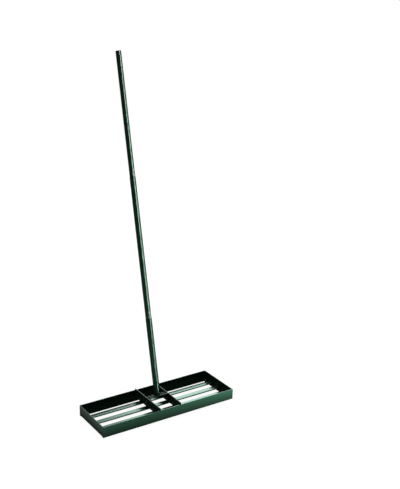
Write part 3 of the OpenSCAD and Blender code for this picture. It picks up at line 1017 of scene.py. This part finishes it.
def head_paint(skin, sheen_tops, outer_skin):
    """Dark green powder coat: satin outside, dull and painted darker as shade inside, painted darker and
    duller towards the ground outside, and painted with a sheen of paler polished metal on faces that look
    up.
    """
    plain = {"Specular IOR Level": 0.0, "Coat Roughness": HEAD_COAT_ROUGHNESS, "Coat IOR": HEAD_COAT_IOR}
    material = coated("head_paint", skin, HEAD_GRAIN, (INNER_SHADE_DARK, INNER_SHADE_LIGHT), HEAD_ROUGHNESS, plain)
    tree = material.node_tree
    tops = use_group(material, sheen_tops, {"Streak Share": STREAK_SHARE})["Mask"]
    outside = use_group(material, outer_skin, {
        "Half Length": low_high("front_wall")[1][0] - OUTER_SKIN_DEPTH,
        "Half Depth": low_high("rear_wall")[1][1] - OUTER_SKIN_DEPTH,
        "Foot Top": FOOT_TOP,
    })
    mottle = tree.nodes[skin.name].outputs["Mottle"]
    # Outer faces take the paint's own colour; all other faces keep the darker copy, which is painted shade
    blend_base(material, outside["Mask"], mix_colour(tree, mottle, PAINT_DARK, PAINT_LIGHT))
    # Painted shade: darker towards the ground on the outer faces
    blend_base(material, outside["Foot"], FOOT_SHADE_PAINT)
    # Painted sheen: faces that look up become paler polished metal
    paint_sheen_as_metal(material, tops, POLISHED_SHEEN_PAINT)
    painted = shader_of(material).inputs["Roughness"].links[0].from_socket
    # The outer coat fades out towards the ground along with the painted shade
    satin = ramp(tree, outside["Foot"], low=HEAD_COAT, high=0.0)
    fill_inputs(tree, shader_of(material), {
        "Roughness": ramp(tree, tops, low=painted, high=POLISHED_ROUGHNESS),
        "Coat Weight": ramp(tree, outside["Mask"], low=INNER_COAT, high=satin),
    })
    return material


def handle_paint(skin, name, gloss):
    """Blackish green powder coat of the tubes."""
    plain = thin_gloss(gloss, TUBE_COAT_ROUGHNESS)
    return coated(name, skin, TUBE_GRAIN, (TUBE_DARK, TUBE_LIGHT), TUBE_ROUGHNESS, plain)


def lower_tube_paint(skin, shaded_tube_foot):
    """Paint of the lower tube, duller from use and painted darker as shade just above the saddle."""
    material = handle_paint(skin, "lower_tube_paint", LOWER_TUBE_GLOSS)
    foot = use_group(material, shaded_tube_foot, {"Dark Below": TUBE_FOOT_DARK, "Clear Above": TUBE_FOOT_CLEAR})
    # Painted shade just above the saddle
    blend_base(material, foot["Mask"], TUBE_FOOT_SHADE)
    return material


def oxide_steel(skin, name, gloss):
    """Steel under a cloudy black oxide, with an oiled gloss over it."""
    plain = thin_gloss(gloss, OXIDE_COAT_ROUGHNESS)
    return coated(name, skin, OXIDE_GRAIN, (OXIDE_DARK, OXIDE_LIGHT), OXIDE_ROUGHNESS, plain)


def moulded_plastic(skin, name):
    """Black moulded plastic with a fine spark texture, which its roughness follows."""
    plain = {"Specular IOR Level": PLASTIC_GLOSS}
    colours = (PLASTIC_DARK, PLASTIC_LIGHT)
    return coated(name, skin, PLASTIC_GRAIN, colours, PLASTIC_ROUGHNESS, plain, rough_by="Peel")


# Studio

def add_camera():
    """Camera at the photograph's viewing angle, shifted sideways only as far as the framing needs."""
    data = bpy.data.cameras.new("photo_camera")
    data.sensor_fit = "AUTO"
    data.sensor_width = SENSOR_MM
    data.lens = FOCAL_LENGTH_PX * SENSOR_MM / IMAGE_HEIGHT
    data.shift_x = (IMAGE_WIDTH / 2 - CENTRE_COLUMN_PX) / IMAGE_HEIGHT
    camera = bpy.data.objects.new("photo_camera", data)
    camera.location = CAMERA_PLACE
    camera.rotation_euler = (QUARTER - CAMERA_PITCH, 0, CAMERA_YAW)
    bpy.context.scene.collection.objects.link(camera)
    bpy.context.scene.camera = camera


def seen_share(tree):
    """1 for rays of the camera, of reflections and of glass, so that all of these meet the background."""
    path = put(tree, "ShaderNodeLightPath", {})
    first = work_out(tree, "MAXIMUM", path["Is Camera Ray"], path["Is Glossy Ray"])
    return work_out(tree, "MAXIMUM", first, path["Is Transmission Ray"])


def add_world():
    """White background where it is seen, and a weaker even fill on the object."""
    world = bpy.data.worlds.new("studio")
    bpy.context.scene.world = world
    world.use_nodes = True
    tree = world.node_tree
    strength = ramp(tree, seen_share(tree), low=WORLD_FILL, high=1.0)
    fill_inputs(tree, tree.nodes["Background"], {"Color": (1, 1, 1, 1), "Strength": strength})


def pale_floor():
    """Pale floor paint that takes a shadow, with a white glow of its own that grows to 1 outwards."""
    material = bpy.data.materials.new("pale_floor")
    material.use_nodes = True
    tree = material.node_tree
    tree.nodes.remove(shader_of(material))
    lit = put(tree, "ShaderNodeBsdfDiffuse", {"Color": (FLOOR_PALENESS, FLOOR_PALENESS, FLOOR_PALENESS, 1)})
    distance = put(tree, "ShaderNodeVectorMath", {0: object_place(tree)}, operation="LENGTH")["Value"]
    glow = ramp(tree, distance, FLOOR_GLOW_NEAR, FLOOR_GLOW_FAR, FLOOR_GLOW, 1.0)
    level = work_out(tree, "MULTIPLY", seen_share(tree), glow)
    shine = put(tree, "ShaderNodeEmission", {"Strength": level})
    both = put(tree, "ShaderNodeAddShader", {0: lit[0], 1: shine[0]})
    fill_inputs(tree, tree.nodes["Material Output"], {"Surface": both[0]})
    return material


def add_floor():
    """Level square just under the object."""
    square = rectangle((-FLOOR_HALF, -FLOOR_HALF), (FLOOR_HALF, FLOOR_HALF))
    corners = [(x, y, -FLOOR_DROP) for x, y in square]
    mesh = bpy.data.meshes.new("floor")
    mesh.from_pydata(corners, [], [(0, 1, 2, 3)])
    mesh.materials.append(pale_floor())
    floor = bpy.data.objects.new("floor", mesh)
    bpy.context.scene.collection.objects.link(floor)
    return floor


def add_softbox(name, place, target, size, power, up=UP, sheen_only=False):
    """Rectangular soft light that looks at a point, with its height along a direction.

    A sheen light shows in reflections alone.
    """
    data = bpy.data.lights.new(name, "AREA")
    data.shape = "RECTANGLE"
    data.size, data.size_y = size
    data.energy = power
    lamp = bpy.data.objects.new(name, data)
    away = unit(np.subtract(place, target))
    across = unit(np.cross(up, away))
    axes = np.stack([across, np.cross(away, across), away], axis=1)
    lamp.matrix_world = Matrix.LocRotScale(Vector(place), Matrix(axes.tolist()), None)
    lamp.visible_camera = False
    lamp.visible_diffuse = not sheen_only
    bpy.context.scene.collection.objects.link(lamp)
    return lamp


def lit_group(name, members):
    """Collection of the objects that a lamp is kept to."""
    group = bpy.data.collections.new(name)
    for member in members:
        group.objects.link(member)
    return group


def add_tube_strip(side, reach, height, width, power, lengths):
    """Sheen light in equal lengths along the handle, off to one side of it and kept to a few pieces."""
    axis = HANDLE_AXES[2]
    off = unit(side - np.dot(side, axis) * axis)
    tubes = lit_group("handle_tubes", [bpy.data.objects[name] for name in SHEEN_PIECES])
    step = height / lengths
    for i in range(lengths):
        middle = PIVOT + (i + 0.5) * step * axis
        lamp = add_softbox("tube_strip", middle + reach * off, middle, (width, step), power / lengths,
                           up=axis, sheen_only=True)
        lamp.light_linking.receiver_collection = tubes


def add_studio():
    """Camera, white surround, pale floor and soft boxes."""
    add_camera()
    bpy.context.scene.view_settings.view_transform = "Standard"
    add_world()
    floor = add_floor()
    add_softbox("overhead_box", **OVERHEAD_BOX)
    add_softbox("back_right_box", **BACK_RIGHT_BOX)
    add_tube_strip(**TUBE_STRIP)
    low_right = add_softbox("low_right_strip", **LOW_RIGHT_STRIP)
    low_right.light_linking.receiver_collection = lit_group("head_and_floor", PIECES["head"] + [floor])
    add_softbox("low_left_strip", **LOW_LEFT_STRIP)


def dress():
    """Builds every piece and gives it its finish."""
    skin = coat_skin_group()
    # Mask for the sheen painted on faces that look up
    sheen_tops = top_sheen_group()
    green = head_paint(skin, sheen_tops, outer_skin_group())
    plate_green = plate_paint(skin, sheen_tops)
    # Welds in the inner corners take the darker paint, which is painted shade
    weld_green = dull_paint(skin, "weld_paint", (INNER_SHADE_DARK, INNER_SHADE_LIGHT))
    saddle_green = saddle_paint(skin, sheen_tops, edge_sheen_group())
    tube_green = handle_paint(skin, "handle_paint", TUBE_GLOSS)
    lower_green = lower_tube_paint(skin, tube_shade_group())
    oxide = oxide_steel(skin, "fastener_steel", PIVOT_GLOSS)
    joint_oxide = oxide_steel(skin, "joint_fastener_steel", JOINT_GLOSS)
    black = moulded_plastic(skin, "plug_plastic")
    nylon = moulded_plastic(skin, "spacer_plastic")
    for node in ("front_wall", "rear_wall"):
        add_long_wall(node, green)
    for node in ("left_end_wall", "right_end_wall"):
        add_end_wall(node, green)
    for node in SLATS:
        add_slat(node, green)
    for node in ("left_cross_plate", "right_cross_plate"):
        add_cross_plate(node, plate_green)
    add_corner_welds(weld_green)
    add_slat_welds(weld_green)
    add_plate_welds(weld_green)
    add_saddle(saddle_green)
    add_saddle_weld(saddle_green)
    add_pivot_bolts(oxide)
    add_pivot_nuts(oxide)
    add_pivot_rings("pivot_washers", "pivot_flat_washers", oxide)
    add_pivot_rings("pivot_spacers", "pivot_nylon_spacers", nylon)
    add_necked_tube("lower_tube", "middle_tube", lower_green)
    add_necked_tube("middle_tube", "upper_tube", tube_green)
    add_plain_tube("upper_tube", tube_green)
    add_joint_bolts(joint_oxide)
    add_joint_nuts(joint_oxide)
    add_joint_seats(joint_oxide)
    add_end_plug(black)


dress()
add_studio()
